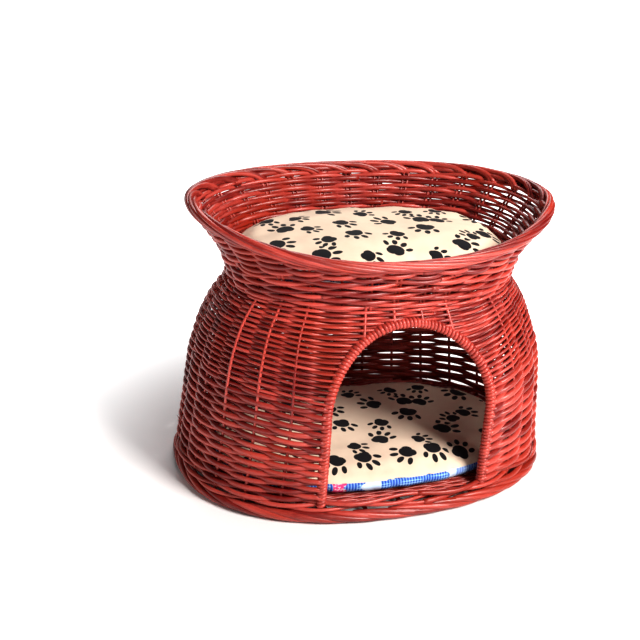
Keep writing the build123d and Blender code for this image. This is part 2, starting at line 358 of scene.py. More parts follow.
def weighted_sum(tree, *pairs):
    """The sum of some sockets, each times its weight."""
    total = None
    for socket, weight in pairs:
        part = math_node(tree, "MULTIPLY", socket, weight)
        total = part if total is None else math_node(tree, "ADD", total, part)
    return total


def mix_colour(tree, share, a, b):
    """A Mix node between two colours: each is a socket or a tuple."""
    return new_node(tree, "Mix", {0: share, 6: a, 7: b}, data_type="RGBA").outputs[2]


def ramp_between(tree, value, low, high):
    """0 below low, 1 above high, smooth between."""
    values = {"Value": value, "From Min": low, "From Max": high}
    return new_node(tree, "MapRange", values, interpolation_type="SMOOTHSTEP").outputs["Result"]


def noise_node(tree, vector, scale, detail=2.0):
    """A Noise Texture's value."""
    return new_node(tree, "TexNoise", {"Vector": vector, "Scale": scale, "Detail": detail}).outputs["Fac"]


def bump_node(tree, height, strength, distance):
    """A Bump node's normal."""
    values = {"Height": height, "Strength": strength, "Distance": distance}
    return new_node(tree, "Bump", values).outputs["Normal"]


def object_coordinates(tree):
    """Places in the object's own axes."""
    return new_node(tree, "TexCoord").outputs["Object"]


def new_material(name):
    """A material, its node tree and its Principled BSDF."""
    material = bpy.data.materials.new(name)
    material.use_nodes = True
    tree = material.node_tree
    return material, tree, tree.nodes["Principled BSDF"]


# %% The stain on the willow
PATCHES_PER_METRE, STREAKS_PER_METRE, FIBRES_PER_METRE, WARM_PER_METRE = 32.0, 170.0, 520.0, 14.0
STREAK_SQUEEZE = (1.0, 1.0, 7.0)
LIGHT_WILLOW = (0.49, 0.066, 0.048, 1)
DARK_WILLOW = (0.18, 0.006, 0.004, 1)
WARM_WILLOW = (0.37, 0.026, 0.007, 1)


def make_stain_group():
    """Stain colour, roughness and height of a willow rod."""
    tree, given, out = new_group(
        "willow_stain",
        [("Position", "Vector"), ("Tone", "Float")],
        [("Colour", "Color"), ("Roughness", "Float"), ("Height", "Float")],
    )
    place, tone = given.outputs["Position"], given.outputs["Tone"]
    patches = noise_node(tree, place, PATCHES_PER_METRE, 3.0)
    level = vector_node(tree, "MULTIPLY", place, STREAK_SQUEEZE)
    streaks = noise_node(tree, level, STREAKS_PER_METRE, 4.0)
    fibres = noise_node(tree, level, FIBRES_PER_METRE, 3.0)
    depth = weighted_sum(tree, (tone, 0.62), (patches, 0.5), (streaks, 0.42))
    light_share = ramp_between(tree, depth, 0.42, 1.08)
    colour = mix_colour(tree, light_share, DARK_WILLOW, LIGHT_WILLOW)
    warm_share = ramp_between(tree, noise_node(tree, place, WARM_PER_METRE, 1.0), 0.42, 0.7)
    warm_share = math_node(tree, "MULTIPLY", warm_share, 0.6)
    colour = mix_colour(tree, warm_share, colour, WARM_WILLOW)
    rough = math_node(tree, "ADD", 0.30, math_node(tree, "MULTIPLY", streaks, 0.2))
    height = weighted_sum(tree, (streaks, 0.7), (fibres, 0.3))
    feed(tree, out, {"Colour": colour, "Roughness": rough, "Height": height})
    return tree


def make_willow():
    """Varnished red willow: one stain group feeds colour, roughness and bump."""
    material, tree, shader = new_material("varnished_willow")
    tone = new_node(tree, "Attribute", attribute_name="rod_tone").outputs["Fac"]
    values = {"Position": object_coordinates(tree), "Tone": tone}
    stain = new_node(tree, "Group", values, node_tree=make_stain_group()).outputs
    feed(tree, shader, {
        "Base Color": stain["Colour"],
        "Roughness": stain["Roughness"],
        "Normal": bump_node(tree, stain["Height"], 0.35, 0.6 * MM),
        "Specular IOR Level": 0.5,
        "Coat Weight": 0.16,
        "Coat Roughness": 0.22,
    })
    return material


willow = make_willow()
print("materials so far:", [m.name for m in bpy.data.materials if m.users])

# %% [markdown]
# ## Stakes
# The stakes are the uprights that the rods are woven round. They stand at even places round the foot, follow
# the wall up to the rim, and are doubled from the neck up. The door's hoop takes the place of two of them.

# %% Stake places
STAKE_COUNT = 30
DOOR_LEG_PLACE = 2
STAKE_RADIUS = 2.4 * MM
STAKE_TAPER = 0.22
STAKE_WOBBLE = 0.0006  # as a share of the way round
STAKE_END_DEPTH = 8 * MM  # a stake's end lies this far below the rim's top edge
BYE_STAKE_STEP = 0.0052
BYE_STAKE_RADIUS = 2.0 * MM
BINDING = 14 * MM
DOOR_HALF_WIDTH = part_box("door_binding")[1].x - BINDING
DOOR_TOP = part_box("door_binding")[1].z - BINDING
DOOR_SPRING = DOOR_TOP - DOOR_HALF_WIDTH
DOOR_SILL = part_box("door_binding")[0].z
FOOT_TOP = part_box("foot_border")[1].z
NECK_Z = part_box("neck_wale")[0].z + 2 * MM
RIM_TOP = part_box("rim_border")[1].z
RIM_FRONT_Y = 152 * MM
RIM_FRONT_DIP = 43 * MM
RIM_DEPTH = 16 * MM
PROUD_STAKES = {24: 4.8, 25: 3.6, 26: 3.4, 23: 2.0, 28: 3.2, 29: 3.2, 0: 3.4, 1: 3.4, 3: 3.4, 4: 2.6}  # in mm


def stake_share(place):
    """Share of the way round of a stake, with the door's middle between places -1 and 0."""
    return ((place + 0.5) / STAKE_COUNT) % 1


def rim_height(y):
    """Height of the rim's top edge, which dips as a parabola in front."""
    return RIM_TOP - RIM_FRONT_DIP * (np.minimum(y, 0) / RIM_FRONT_Y) ** 2


def rim_line(shares):
    """Heights of the rim's top edge over the wall's middle; a few rounds settle height and place together."""
    heights = np.full(np.shape(shares), RIM_TOP - 20 * MM)
    for _ in range(6):
        heights = rim_height(wall_at(shares, np.minimum(heights, WALL_HIGH))[:, 1])
    return heights


def arch_height(x, margin):
    """Height of the door's outline, grown by margin, over a place x."""
    reach = DOOR_HALF_WIDTH + margin
    return np.where(np.abs(x) < reach, DOOR_SPRING + np.sqrt(np.maximum(reach**2 - x**2, 0)), 0.0)


def fade(values, start, length):
    """0 up to start, then even to 1 over a length; a negative length fades in the other direction."""
    return np.clip((values - start) / length, 0, 1)


def proud(place, heights):
    """How far a stake stands outside the wall's middle, where thin weavers leave it showing."""
    shown = np.minimum(fade(heights, 110 * MM, 50 * MM), fade(heights, 305 * MM, -30 * MM))
    return PROUD_STAKES.get(place, 0.0) * MM * shown


print("door", round(2 * DOOR_HALF_WIDTH, 3), "wide and", round(DOOR_TOP, 3), "high at its crown")

# %% Stand the stakes
STAKE_SAMPLES, BYE_STAKE_SAMPLES = 44, 18


def make_stakes():
    """The full stakes, those that start over the door, and the second ones in the tray."""
    rods = Rods("wall_stakes_visual", 11)
    doubles = Rods("tray_bye_stakes_visual", 12)
    over_door = Rods("door_head_stakes_visual", 13)
    for place in range(STAKE_COUNT):
        share = stake_share(place)
        rim = rim_line(np.array([share]))[0] - STAKE_END_DEPTH
        from_middle = min(place, STAKE_COUNT - 1 - place)
        wobble = rods.chance.uniform(-STAKE_WOBBLE, STAKE_WOBBLE)
        low = FOOT_TOP * 0.6
        if from_middle < DOOR_LEG_PLACE:
            low = float(arch_height(wall_at(np.array([share]), np.array([0.25]))[0, 0], BINDING * 0.7))
        heights = np.linspace(low, min(rim, WALL_HIGH), STAKE_SAMPLES)
        line = wall_points(share + wobble * np.sin(heights * 18), heights, proud(place, heights))
        radii = STAKE_RADIUS * (1.0 - STAKE_TAPER * (heights - low) / (rim - low))
        if from_middle < DOOR_LEG_PLACE:
            over_door.add(line, radii)
        elif from_middle > DOOR_LEG_PLACE:
            rods.add(line, radii)
        heights = np.linspace(NECK_Z - 6 * MM, min(rim, WALL_HIGH), BYE_STAKE_SAMPLES)
        doubles.add(wall_points(share + BYE_STAKE_STEP, heights, 0.0), BYE_STAKE_RADIUS)
    rods.finish("wall_stakes")
    doubles.finish("tray_bye_stakes")
    over_door.finish("door_head_stakes")


make_stakes()

# %% [markdown]
# ## Weaving
# A weaver passes in front of one stake and behind the next, and the row above does the opposite. The path of
# one row is therefore a wave that is outermost at every second stake. Each row is several rods long, and each
# rod runs on a little beside the start of the next.

# %% Weave rows
SAMPLES_PER_GAP = 8
BACK_GAPS = 7.2  # the coarser weave at the back reaches this many stakes to each side
ROW_RISE = 32 * MM
ROD_TAPER = 0.22
ROD_OVERLAP = 0.45  # in gaps between stakes, as are the next two
ROD_GAPS = (9, 15)
SHORTEST_ROD = 4
THIN_PLACE = 0.272  # the share of the way round at which the tray's rods are thinnest
DOOR_CLEARANCE = BINDING * 0.55


def weave_wave(places, phase, reach):
    """How far a weaver stands outside the wall's middle at places counted in stakes."""
    wave = np.cos(math.pi * (places - 0.5 + phase))
    return reach * np.sign(wave) * np.abs(wave) ** 0.75


def wale_wave(places, phase, reach):
    """A rod of a three-rod wale: in front of two stakes, behind the third."""
    turn = 2 * math.pi * (places - 0.5 + phase) / 3
    return reach * (0.25 + 1.05 * np.cos(turn))


def ease(share):
    """Turns an even climb from 0 to 1 into one with soft ends."""
    return share**2 * (3 - 2 * share)


def rise(shares, heights):
    """Rows climb to the right of the door, less to its left, and come down again at the back."""
    turn = np.mod(shares + 0.5, 1.0) - 0.5
    right = fade(turn, 0.06, 0.13) * fade(turn, 0.44, -0.16)
    left = fade(-turn, 0.07, 0.10) * fade(-turn, 0.44, -0.22)
    level = fade(heights, 26 * MM, 90 * MM) * fade(heights, 305 * MM, -90 * MM)
    return heights + ROW_RISE * level * (ease(right) + 0.3 * ease(left))


def add_row(rods, height, phase, radius, reach, start=0.0, stop=float(STAKE_COUNT), wave=weave_wave,
            rod_gaps=ROD_GAPS, thin_right=False, wobble=0.5 * MM):
    """Weaves one row between two places, counted in stakes, from rods of a few gaps each."""
    whole = stop - start >= STAKE_COUNT - 1e-6
    shift = rods.chance.uniform(0, 3) if whole else 0.0
    place = start + shift
    end = stop + shift
    while place < end - 0.05:
        gaps = rods.chance.randint(*rod_gaps)
        stop_here = end if end - place < gaps + SHORTEST_ROD else place + gaps
        overlap = 0.0 if stop_here >= end and not whole else ROD_OVERLAP
        count = max(4, int((stop_here + overlap - place) * SAMPLES_PER_GAP))
        places = np.linspace(place, stop_here + overlap, count)
        shares = places / STAKE_COUNT
        along = np.linspace(0, 1, count)
        drift = rods.chance.uniform(-1, 1) * wobble * np.sin(along * math.pi * rods.chance.uniform(1, 3))
        heights = height + drift + 0.35 * wobble * np.sin(places * 2.1 + rods.chance.uniform(0, 6))
        thick = radius * rods.chance.uniform(0.88, 1.1)
        radii = thick * (1.06 - ROD_TAPER * along)
        if thin_right:
            away = np.abs(np.mod(shares, 1.0) - THIN_PLACE)
            radii = radii * (0.68 + 0.32 * fade(away, 0.026, 0.03))
        rods.add(wall_points(shares, rise(shares, heights), wave(places, phase, reach)), radii)
        place = stop_here


def arch_gap(height):
    """The place, in stakes from the door's middle, at which a row meets the door, or None below it."""
    if height < DOOR_SILL:
        return None
    places = np.linspace(0.0, 6.0, 240)
    x = wall_at(places / STAKE_COUNT, height)[:, 0]
    inside = x < DOOR_HALF_WIDTH + DOOR_CLEARANCE
    inside &= height < np.where(inside, np.maximum(arch_height(x, DOOR_CLEARANCE), DOOR_SPRING), 0)
    return float(places[inside][-1]) if inside.any() else None


def band_rows(low, high, pitch):
    """Heights of the rows between two heights, with an even pitch along the wall's slope."""
    heights = [low + pitch / 2]
    while True:
        pair = wall_at(np.array([0.5, 0.5]), np.array([heights[-1], heights[-1] + MM]))
        slope = float(np.linalg.norm(pair[1] - pair[0])) / MM
        if heights[-1] + pitch / slope > high:
            return heights
        heights.append(heights[-1] + pitch / slope)


def weave_band(node, seed, low, high, pitch, radius, reach, wave=weave_wave, back_pitch=None, **row):
    """Rows in the place of a CAD node, broken at the door; back_pitch says how much coarser the back is."""
    rods = Rods(node + "_visual", seed)
    cycle = 2 if wave is weave_wave else 3
    back = (STAKE_COUNT / 2 - BACK_GAPS, STAKE_COUNT / 2 + BACK_GAPS)
    for number, height in enumerate(band_rows(low, high, pitch)):
        gap = arch_gap(height)
        sides = [(gap or 0.0, STAKE_COUNT - (gap or 0.0))]
        if back_pitch:
            start = back[0] + rods.chance.uniform(-0.3, 0.3)
            stop = back[1] + rods.chance.uniform(-0.3, 0.3)
            sides = [(gap, start), (stop, STAKE_COUNT - gap)] if gap else [(stop - STAKE_COUNT, start)]
        for side in sides:
            add_row(rods, height, number % cycle, radius, reach, *side, wave=wave, **row)
    if back_pitch:
        for number, height in enumerate(band_rows(low, high, pitch * back_pitch)):
            add_row(rods, height, number % 2, radius * 1.12, reach * 1.05, *back, wave=wave, **row)
    print(f"{node}: rods for {low / MM:.0f} to {high / MM:.0f} mm")
    rods.finish(node)


BOTTOM_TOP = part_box("lower_weave")[0].z
LOWER_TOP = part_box("fine_weave")[0].z
FINE_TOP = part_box("neck_wale")[0].z
NECK_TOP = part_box("tray_weave")[0].z
weave_band("bottom_wale", 21, FOOT_TOP - MM, BOTTOM_TOP, 4.6 * MM, 3.5 * MM, 5.2 * MM, wave=wale_wave)
weave_band("lower_weave", 22, BOTTOM_TOP - MM, LOWER_TOP, 6.0 * MM, 4.1 * MM, 3.5 * MM)
weave_band("fine_weave", 23, LOWER_TOP, FINE_TOP, 3.9 * MM, 2.35 * MM, 3.5 * MM,
           rod_gaps=(7, 12), back_pitch=1.75)
weave_band("neck_wale", 24, FINE_TOP, NECK_TOP, 4.2 * MM, 3.5 * MM, 4.2 * MM, wave=wale_wave)

# %% [markdown]
# ## Tray wall
# Above the neck the weave is more open, and rows stop where the rim dips below them in front.

# %% Tray rows
TRAY_PITCH, TRAY_RADIUS, TRAY_REACH, TRAY_WOBBLE = 5.6 * MM, 3.75 * MM, 3.7 * MM, 0.8 * MM
TRAY_CLIMB = 0.86  # height gained for each pitch along the sloping wall
RIM_COVER = 9 * MM


def make_tray_weave():
    """Rows up to the rim; those above its dip run from one side of the dip round the back to the other."""
    rods = Rods("tray_weave_visual", 25)
    places = np.linspace(-STAKE_COUNT / 2, STAKE_COUNT / 2, 600)
    top = rim_line(places / STAKE_COUNT) - RIM_COVER
    height = NECK_TOP + TRAY_PITCH / 2
    number = 0
    while height < RIM_TOP - RIM_COVER:
        ends = ()
        if not (top > height).all():
            edge = float(np.abs(places[top <= height]).max())
            ends = (edge, STAKE_COUNT - edge)
        add_row(rods, height, number % 2, TRAY_RADIUS, TRAY_REACH, *ends, thin_right=True, wobble=TRAY_WOBBLE)
        height += TRAY_PITCH * TRAY_CLIMB
        number += 1
    rods.finish("tray_weave")


make_tray_weave()

# %% [markdown]
# ## Loose tips
# Here and there the tip of a rod is left standing out of the weave.

# %% Three loose tips
LOOSE_TIPS = (
    (0.735, 0.062, -0.010, 0.004, 1.1),
    (0.245, 0.085, 0.004, 0.022, 1.0),
    (0.905, 0.171, 0.006, 0.003, 1.6),
)  # share of the way round, height, run along the wall as a share, climb, radius in mm


def make_loose_tips():
    """Thin rods that leave the wall at a low angle."""
    rods = Rods("loose_tips_visual", 27)
    along = np.linspace(0, 1, 8)
    for share, height, run, climb, radius in LOOSE_TIPS:
        line = wall_points(share + run * along, height + climb * along, (4 + 6 * along) * MM)
        rods.add(line, radius * MM * (1.0 - 0.6 * along))
    rods.finish()


make_loose_tips()

# %% [markdown]
# ## Borders
# The rim is rolled: every stake is bent over at the top and laid along the rim, over its neighbours and down
# again, so the rods lie side by side everywhere and cross slowly, like the strands of a rope. The foot is
# finished in the same way with thicker rods.

# %% Rolled borders
RIM_GAPS, RIM_SAMPLES, RIM_REACH = 6.2, 44, 5.4 * MM
FOOT_GAPS, FOOT_SAMPLES, FOOT_REACH, FOOT_THICK = 3.4, 40, 4.6 * MM, 9.4 * MM


def rim_points(shares, across, up):
    """Points round the rim's middle line: across is outwards, up is along the wall."""
    heights = rim_line(shares) - RIM_DEPTH / 2 + up
    low = np.minimum(heights, WALL_HIGH)
    points = wall_points(shares, low, across)
    points[:, 2] += heights - low
    return points


def make_rim():
    """Two rods from every stake, which come up from inside and roll over the rim."""
    rods = Rods("rim_border_visual", 31)
    along = np.linspace(0, 1, RIM_SAMPLES)
    angle = math.radians(-105) + along * math.radians(265) + math.pi / 2 + 0.3
    start = np.exp(-along * 22)
    across = -np.cos(angle) * RIM_REACH * (1 - start) - MM * start
    up = (np.sin(angle) * RIM_REACH * 0.95 + MM) * (1 - start) - 9 * MM * start
    for place in range(STAKE_COUNT):
        for double in range(2):
            places = place + 0.5 + double * 0.14 + along * RIM_GAPS
            wobble = rods.chance.uniform(-0.7, 0.7) * MM
            radii = rods.chance.uniform(3.5, 4.3) * MM * (1.0 - 0.4 * along)
            rods.add(rim_points(places / STAKE_COUNT, across + wobble, up + wobble * 0.5), radii)
    rods.finish("rim_border")


make_rim()


def make_foot_border():
    """Two thick rods from every stake, rolled round the foot."""
    rods = Rods("foot_border_visual", 32)
    low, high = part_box("foot_border")
    half = ((high.x - low.x) / 2 - FOOT_THICK, (high.y - low.y) / 2 - FOOT_THICK)
    along = np.linspace(0, 1, FOOT_SAMPLES)
    angle = math.radians(150) - along * math.radians(300)
    out, up = np.cos(angle) * FOOT_REACH, np.sin(angle) * FOOT_REACH
    for place in range(STAKE_COUNT):
        for double in range(2):
            places = place + 0.5 + double * 0.2 + along * FOOT_GAPS
            turns = np.interp(np.mod(places / STAKE_COUNT, 1), SHARE_GRID, TURN_OF_SHARE)
            flat = oval(*half, turns)
            ahead = unit(oval(*half, turns + 0.002) - flat)
            normal = np.column_stack([ahead[:, 1], -ahead[:, 0]])
            points = np.column_stack([flat + normal * out[:, None], (high.z - low.z) / 2 + up])
            rods.add(points, rods.chance.uniform(4.0, 4.6) * MM * (1.0 - 0.3 * along))
    rods.finish("foot_border")


make_foot_border()

# %% [markdown]
# ## Door
# A hoop of thick willow edges the door, and a long split rod is wound round it, turn by turn. The winding is
# a helix round the hoop's line; the line is two straight legs and a half-round head, laid on the wall.

# %% Hoop and binding
DOOR_SAMPLES, TURN_SAMPLES = 160, 26
HOOP_RADIUS, WINDING_REACH, WINDING_RADIUS, WINDING_PITCH = 3.0 * MM, 4.7 * MM, 2.75 * MM, 5.2 * MM


def door_line(margin):
    """Points x, z along the door's outline, grown by margin, from the right foot over the top to the left."""
    reach = DOOR_HALF_WIDTH + margin
    leg = DOOR_SPRING - FOOT_TOP
    arc = math.pi * reach
    steps = np.linspace(0, 2 * leg + arc, DOOR_SAMPLES)
    angle = np.clip((steps - leg) / reach, 0, math.pi)
    x = reach * np.cos(angle)
    z = DOOR_SPRING + reach * np.sin(angle)
    z = np.where(steps < leg, FOOT_TOP + steps, z)
    z = np.where(steps > leg + arc, FOOT_TOP + 2 * leg + arc - steps, z)
    return x, z


def front_shares(x, z):
    """The shares of the way round at which the front wall is over these places."""
    grid = np.linspace(-0.2, 0.2, 400)
    return np.array([np.interp(across, wall_at(grid, height)[:, 0], grid) for across, height in zip(x, z)])


def interpolate(at, travel, rows):
    """Rows of numbers known at some distances, read at others."""
    return np.column_stack([np.interp(at, travel, rows[:, k]) for k in range(3)])


def make_door():
    """The hoop, and one round of winding after another along it."""
    x, z = door_line(BINDING / 2)
    shares = front_shares(x, z)
    line = wall_points(shares, z, 0.0)
    hoop = Rods("door_hoop_visual", 41)
    hoop.add(line, HOOP_RADIUS)
    hoop.finish("door_hoop")
    rods = Rods("door_binding_visual", 42)
    tangent = unit(np.gradient(line, axis=0))
    outward = wall_points(shares, z, MM) - line
    outward = unit(outward - (outward * tangent).sum(1)[:, None] * tangent)
    side = np.cross(tangent, outward)
    steps = np.linalg.norm(np.diff(line, axis=0), axis=1)
    travel = np.concatenate([[0], np.cumsum(steps)])
    around = np.linspace(-0.6, 2 * math.pi + 0.2, TURN_SAMPLES)
    out_reach = (np.cos(around + math.pi) * WINDING_REACH)[:, None]
    side_reach = (np.sin(around + math.pi) * WINDING_REACH)[:, None]
    place = 8 * MM
    while place < travel[-1] - 6 * MM:
        pitch = WINDING_PITCH * rods.chance.uniform(0.88, 1.15)
        at = place + pitch * around / (2 * math.pi)
        ring = interpolate(at, travel, line)
        ring += interpolate(at, travel, outward) * out_reach + interpolate(at, travel, side) * side_reach
        rods.add(ring, WINDING_RADIUS * rods.chance.uniform(0.94, 1.08), rods.chance.uniform(0.5, 0.95))
        place += pitch
    rods.finish("door_binding")


make_door()

# %% [markdown]
# ## Floor and shelf
# Floor and shelf are woven flat: rods pass over and under sticks that lie across the basket.

# %% Flat weave
FLAT_PITCH, FLAT_RADIUS = 4.6 * MM, 1.9 * MM


def half_chord(half_length, half_width, across):
    """Half the oval's length at a distance across from its long axis."""
    share = np.minimum(np.abs(across) / half_width, 1.0)
    return half_length * (1 - share**OVAL_POWER) ** (1 / OVAL_POWER)


def make_panel(node, seed, stick_spacing):
    """A flat woven oval in the place of its CAD node."""
    low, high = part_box(node)
    rods = Rods(node + "_visual", seed)
    half = ((high.x - low.x) / 2 - FLAT_RADIUS, (high.y - low.y) / 2 - FLAT_RADIUS)
    middle = (low.z + high.z) / 2
    reach = (high.z - low.z) / 2 - FLAT_RADIUS
    y = -half[1] + FLAT_PITCH
    number = 0
    while y < half[1] - FLAT_PITCH / 2:
        end = float(half_chord(*half, y))
        count = max(6, int(2 * end / stick_spacing * 5))
        x = np.linspace(-end, end, count)
        z = middle + reach * np.cos(math.pi * (x / stick_spacing + number % 2))
        rods.add(np.column_stack([x, np.full(count, y), z]), FLAT_RADIUS * rods.chance.uniform(0.88, 1.08))
        y += FLAT_PITCH
        number += 1
    rods.finish(node)


def make_sticks(node, seed):
    """Round sticks in the place of a CAD node's sticks, one for each of its loose solids."""
    bm = bmesh.new()
    bm.from_mesh(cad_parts[node].data)
    bmesh.ops.remove_doubles(bm, verts=bm.verts, dist=0.01 * MM)
    rods = Rods(node + "_visual", seed)
    done = set()
    for first in bm.verts:
        if first in done:
            continue
        island, edge = set(), [first]
        while edge:
            vert = edge.pop()
            if vert in island:
                continue
            island.add(vert)
            edge.extend(e.other_vert(vert) for e in vert.link_edges)
        done |= island
        places = np.array([v.co for v in island])
        low, high = places.min(0), places.max(0)
        axis = int(np.argmax(high - low))
        radius = (high[2] - low[2]) / 2
        start, stop = (low + high) / 2, (low + high) / 2
        start[axis], stop[axis] = low[axis], high[axis]
        rods.add(np.linspace(start, stop, 12), radius * np.linspace(1.0, 0.86, 12))
    bm.free()
    rods.finish(node)


def make_shelf_hoop():
    """A round hoop on which the shelf's sticks rest."""
    low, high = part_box("shelf_hoop")
    radius = (high.z - low.z) / 2
    turns = np.linspace(0, 2 * math.pi, 121)
    flat = oval((high.x - low.x) / 2 - radius, (high.y - low.y) / 2 - radius, turns)
    rods = Rods("shelf_hoop_visual", 58)
    rods.add(np.column_stack([flat, np.full(len(turns), (low.z + high.z) / 2)]), radius)
    rods.finish("shelf_hoop")


make_panel("floor_weave", 51, 29 * MM)
make_panel("shelf_weave", 52, 24 * MM)
for number, place in enumerate(("floor_cross", "floor_long", "shelf_cross", "shelf_long")):
    make_sticks(place + "_sticks", 53 + number)


make_shelf_hoop()

# %% [markdown]
# ## Cushion cloth
# The top cloth is cream cotton printed with charcoal paw prints, and the under cloth is a patchwork of blue
# gingham, white and pink. A Voronoi texture gives each print its own cell: the cell's middle is the print's
# place, and its random colour gives the turn and size.

# %% Print and weave groups
PAWS_PER_METRE = 19.5
THREADS_PER_METRE = 1400.0
PAW_SPOTS = (
    ((0.0, -0.06), (0.165, 0.15), 0.0),
    ((-0.07, -0.13), (0.11, 0.10), 0.5),
    ((0.07, -0.13), (0.11, 0.10), -0.5),
    ((-0.235, 0.07), (0.052, 0.088), -0.6),
    ((-0.09, 0.195), (0.056, 0.098), -0.2),
    ((0.09, 0.195), (0.056, 0.098), 0.2),
    ((0.235, 0.07), (0.052, 0.088), 0.6),
)  # centre, radii and turn of the ellipses that make up a print: first the pad, then four toes


def rotated(tree, vector, angle):
    """A vector turned about Z."""
    values = {"Vector": vector, "Angle": angle}
    return new_node(tree, "VectorRotate", values, rotation_type="Z_AXIS").outputs[0]


def voronoi(tree, vector, scale, randomness):
    """Flat Voronoi cells: where each has its middle, and its random numbers."""
    values = {"Vector": vector, "Scale": scale, "Randomness": randomness}
    cells = new_node(tree, "TexVoronoi", values, voronoi_dimensions="2D").outputs
    return cells["Position"], new_node(tree, "SeparateColor", {0: cells["Color"]}).outputs


def ellipse_mask(tree, local, centre, radii, turn):
    """1 inside an ellipse of the print, 0 outside, with a soft edge."""
    moved = vector_node(tree, "SUBTRACT", local, (centre[0], centre[1], 0.0))
    scaled = vector_node(tree, "MULTIPLY", rotated(tree, moved, turn), (1 / radii[0], 1 / radii[1], 0.0))
    inside = math_node(tree, "SUBTRACT", 1.0, vector_node(tree, "LENGTH", scaled))
    return ramp_between(tree, inside, -0.03, 0.05)


def make_paw_group():
    """Where a paw print is, as a mask."""
    tree, given, out = new_group("paw_print", [("Position", "Vector")], [("Mask", "Float")])
    flat = vector_node(tree, "MULTIPLY", given.outputs["Position"], (1.0, 1.0, 0.0))
    place = scale_vector(tree, flat, PAWS_PER_METRE)
    middle, chance = voronoi(tree, place, 1.0, 0.55)
    local = vector_node(tree, "SUBTRACT", place, middle)
    turned = rotated(tree, local, math_node(tree, "MULTIPLY", chance[0], 2 * math.pi))
    size = math_node(tree, "ADD", 1.08, math_node(tree, "MULTIPLY", chance[1], 0.4))
    sized = scale_vector(tree, turned, math_node(tree, "DIVIDE", 1.0, size))
    mask = ellipse_mask(tree, sized, *PAW_SPOTS[0])
    for spot in PAW_SPOTS[1:]:
        mask = math_node(tree, "MAXIMUM", mask, ellipse_mask(tree, sized, *spot))
    feed(tree, out, {"Mask": mask})
    return tree


def make_cloth_group():
    """Plain weave of cotton: a fine height and a soft mottle."""
    outputs = [("Height", "Float"), ("Mottle", "Float")]
    tree, given, out = new_group("cotton_weave", [("Position", "Vector")], outputs)
    threads = scale_vector(tree, given.outputs["Position"], THREADS_PER_METRE)
    split = new_node(tree, "SeparateXYZ", {0: threads}).outputs
    waves = [math_node(tree, "SINE", math_node(tree, "MULTIPLY", split[k], math.pi)) for k in (0, 1)]
    mottle = noise_node(tree, given.outputs["Position"], 60.0, 4.0)
    feed(tree, out, {"Height": math_node(tree, "MULTIPLY", *waves), "Mottle": mottle})
    return tree


paw_group = make_paw_group()
cloth_group = make_cloth_group()
print("cloth groups:", paw_group.name, cloth_group.name)

# %% Cloth materials
CREAM, PALE_CREAM = (0.72, 0.57, 0.44, 1), (0.78, 0.64, 0.51, 1)
CHARCOAL = (0.009, 0.008, 0.010, 1)
SKY_BLUE, DEEP_BLUE = (0.34, 0.60, 0.88, 1), (0.015, 0.07, 0.48, 1)
COOL_WHITE, PALE_BLUE = (0.72, 0.82, 0.93, 1), (0.5, 0.66, 0.88, 1)
ROSE, PALE_ROSE = (0.75, 0.06, 0.22, 1), (0.86, 0.5, 0.6, 1)
CHECK_SIZE = 4.2 * MM


def cotton(tree, shader, coords):
    """Weave bump and sheen that both cloths share; gives back the mottle."""
    weave = new_node(tree, "Group", {"Position": coords}, node_tree=cloth_group).outputs
    feed(tree, shader, {
        "Normal": bump_node(tree, weave["Height"], 0.15, 0.2 * MM),
        "Roughness": 0.85,
        "Sheen Weight": 0.04,
        "Specular IOR Level": 0.2,
    })
    return weave["Mottle"]


def make_paw_cloth():
    """Cream cotton with charcoal paw prints."""
    material, tree, shader = new_material("paw_cotton_cloth")
    coords = object_coordinates(tree)
    paws = new_node(tree, "Group", {"Position": coords}, node_tree=paw_group).outputs["Mask"]
    ground = mix_colour(tree, cotton(tree, shader, coords), CREAM, PALE_CREAM)
    feed(tree, shader, {"Base Color": mix_colour(tree, paws, ground, CHARCOAL)})
    return material


def make_patch_cloth():
    """Patchwork: gingham in most patches, white or pink in some."""
    material, tree, shader = new_material("patchwork_cloth")
    coords = object_coordinates(tree)
    mottle = cotton(tree, shader, coords)
    split = new_node(tree, "SeparateXYZ", {0: coords}).outputs
    stripes = []
    for k in (0, 1, 2):
        wave = math_node(tree, "SINE", math_node(tree, "MULTIPLY", split[k], 2 * math.pi / CHECK_SIZE))
        stripes.append(ramp_between(tree, wave, -0.2, 0.2))
    level = math_node(tree, "MAXIMUM", stripes[1], stripes[2])
    check = math_node(tree, "MULTIPLY", math_node(tree, "ADD", stripes[0], level), 0.5)
    gingham = mix_colour(tree, check, SKY_BLUE, DEEP_BLUE)
    chance = voronoi(tree, coords, 44.0, 0.35)[1]
    white = ramp_between(tree, chance[0], 0.80, 0.81)
    pink = ramp_between(tree, chance[1], 0.76, 0.77)
    flowers = ramp_between(tree, noise_node(tree, coords, 260.0, 1.0), 0.5, 0.56)
    colour = mix_colour(tree, white, gingham, mix_colour(tree, mottle, COOL_WHITE, PALE_BLUE))
    colour = mix_colour(tree, pink, colour, mix_colour(tree, flowers, ROSE, PALE_ROSE))
    feed(tree, shader, {"Base Color": colour})
    return material


paw_cloth = make_paw_cloth()
patch_cloth = make_patch_cloth()
print("cloth materials:", paw_cloth.name, patch_cloth.name)

# %% [markdown]
# ## Cushions
# A cushion is a sewn oval bag with a soft filling. It starts as a copy of its CAD filling, is filled by cloth
# simulation with a little pressure that may move no point far, and is then wrinkled by smooth noise. The top
# cloth and the under cloth are two pieces that meet at the seam.

